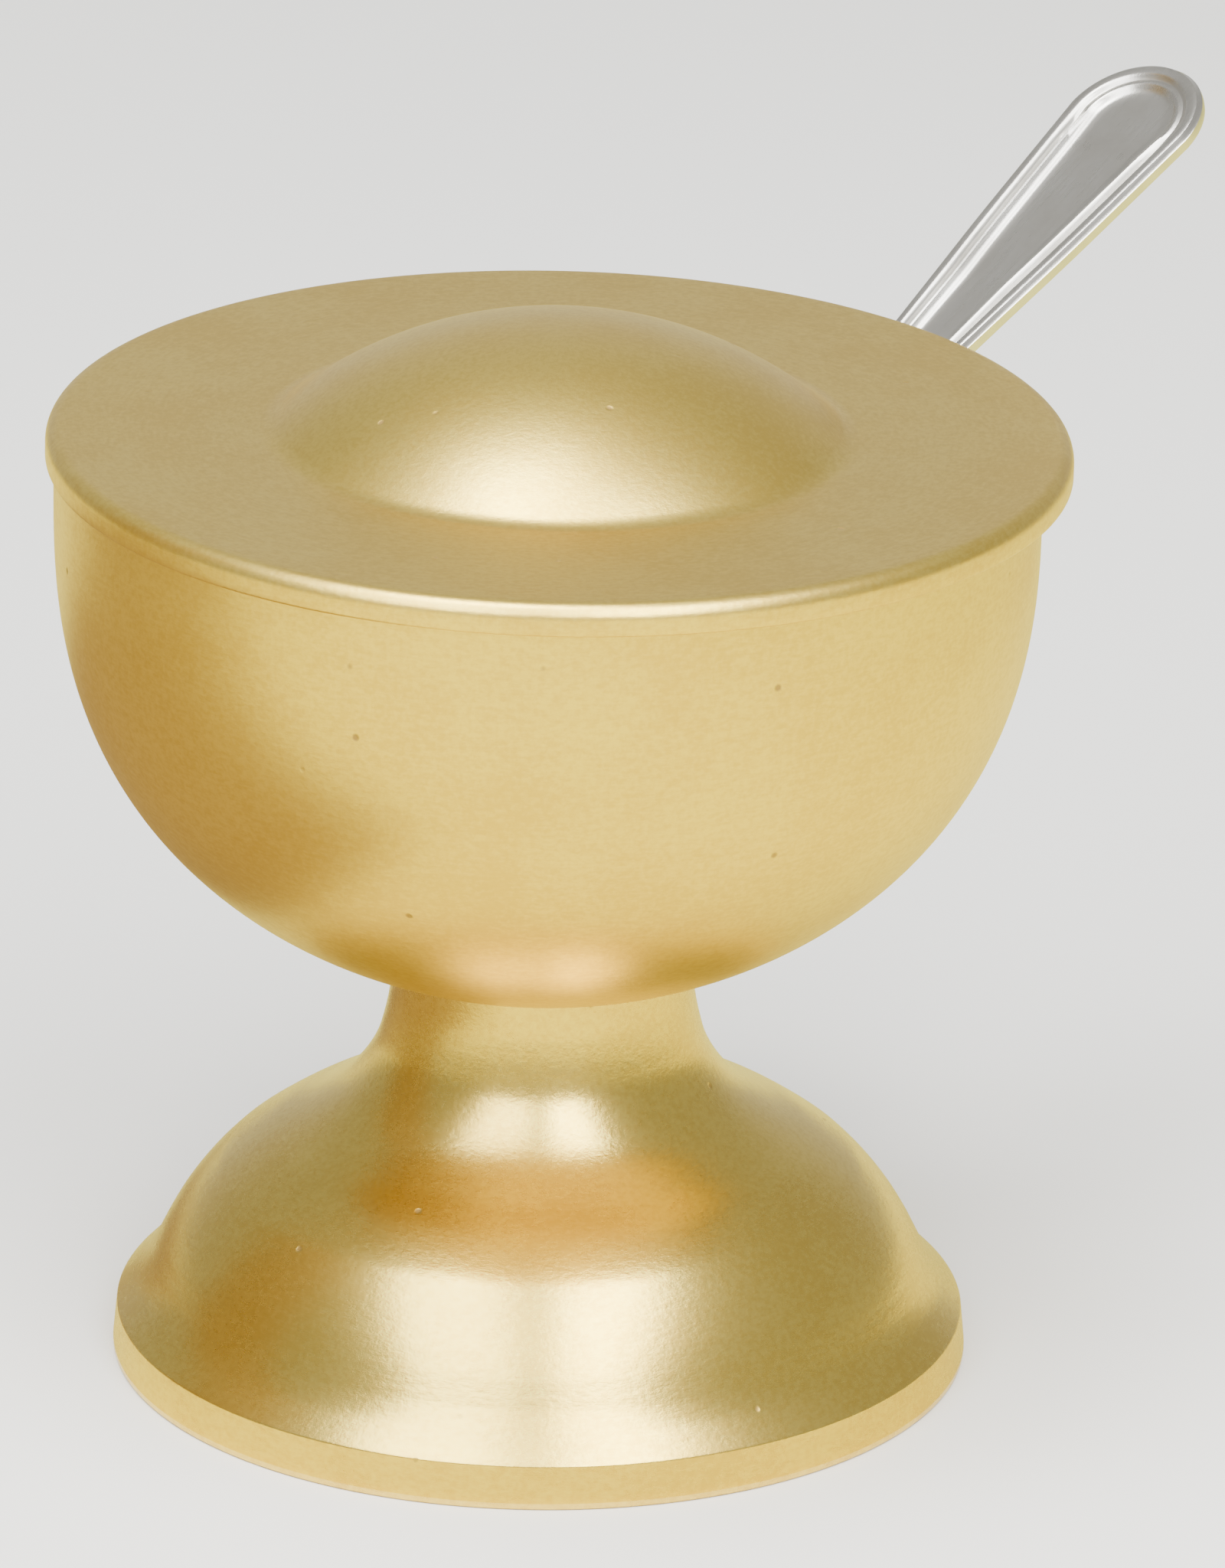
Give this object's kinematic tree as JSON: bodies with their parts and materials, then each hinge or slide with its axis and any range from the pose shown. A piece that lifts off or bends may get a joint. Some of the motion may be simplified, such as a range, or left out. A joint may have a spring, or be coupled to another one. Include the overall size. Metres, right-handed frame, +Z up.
{
  "type": "incense boat with spoon",
  "caption": "Round spun brass incense boat on a bell foot, with a low-domed lift-off lid and a small steel spoon leaving through a notch in the rim.",
  "frame": {"origin": "centre of the foot's base ring, on the surface the vessel stands on", "axes": "+Z up along the axis of bowl and foot; the spoon leaves the rim 43.5 degrees from +X towards +Y; seen along +Y, +X is to the right"},
  "size_m": [0.0964, 0.0944, 0.0964],
  "materials": {
    "satin_brass": "satin brushed",
    "stainless_steel": "polished, lightly worn",
    "fixing_brass": "machined",
    "zinc_steel": "zinc plated"
  },
  "bodies": {
    "vessel": {"bowl": "satin_brass", "foot": "satin_brass", "fixing_screw": "fixing_brass", "flat_washer": "fixing_brass", "lock_washer": "zinc_steel", "hex_nut": "fixing_brass"},
    "lid": {"lid": "satin_brass"},
    "spoon": {"spoon": "stainless_steel"}
  },
  "joints": [
    {"name": "lid_lift", "type": "slide", "parent": "vessel", "child": "lid", "axis": [0, 0, 1], "range_m": [0, 0.06]},
    {"name": "spoon_slide", "type": "slide", "parent": "vessel", "child": "spoon", "axis": [0.6218, 0.59, 0.515], "range_m": [0, 0.03]}
  ]
}
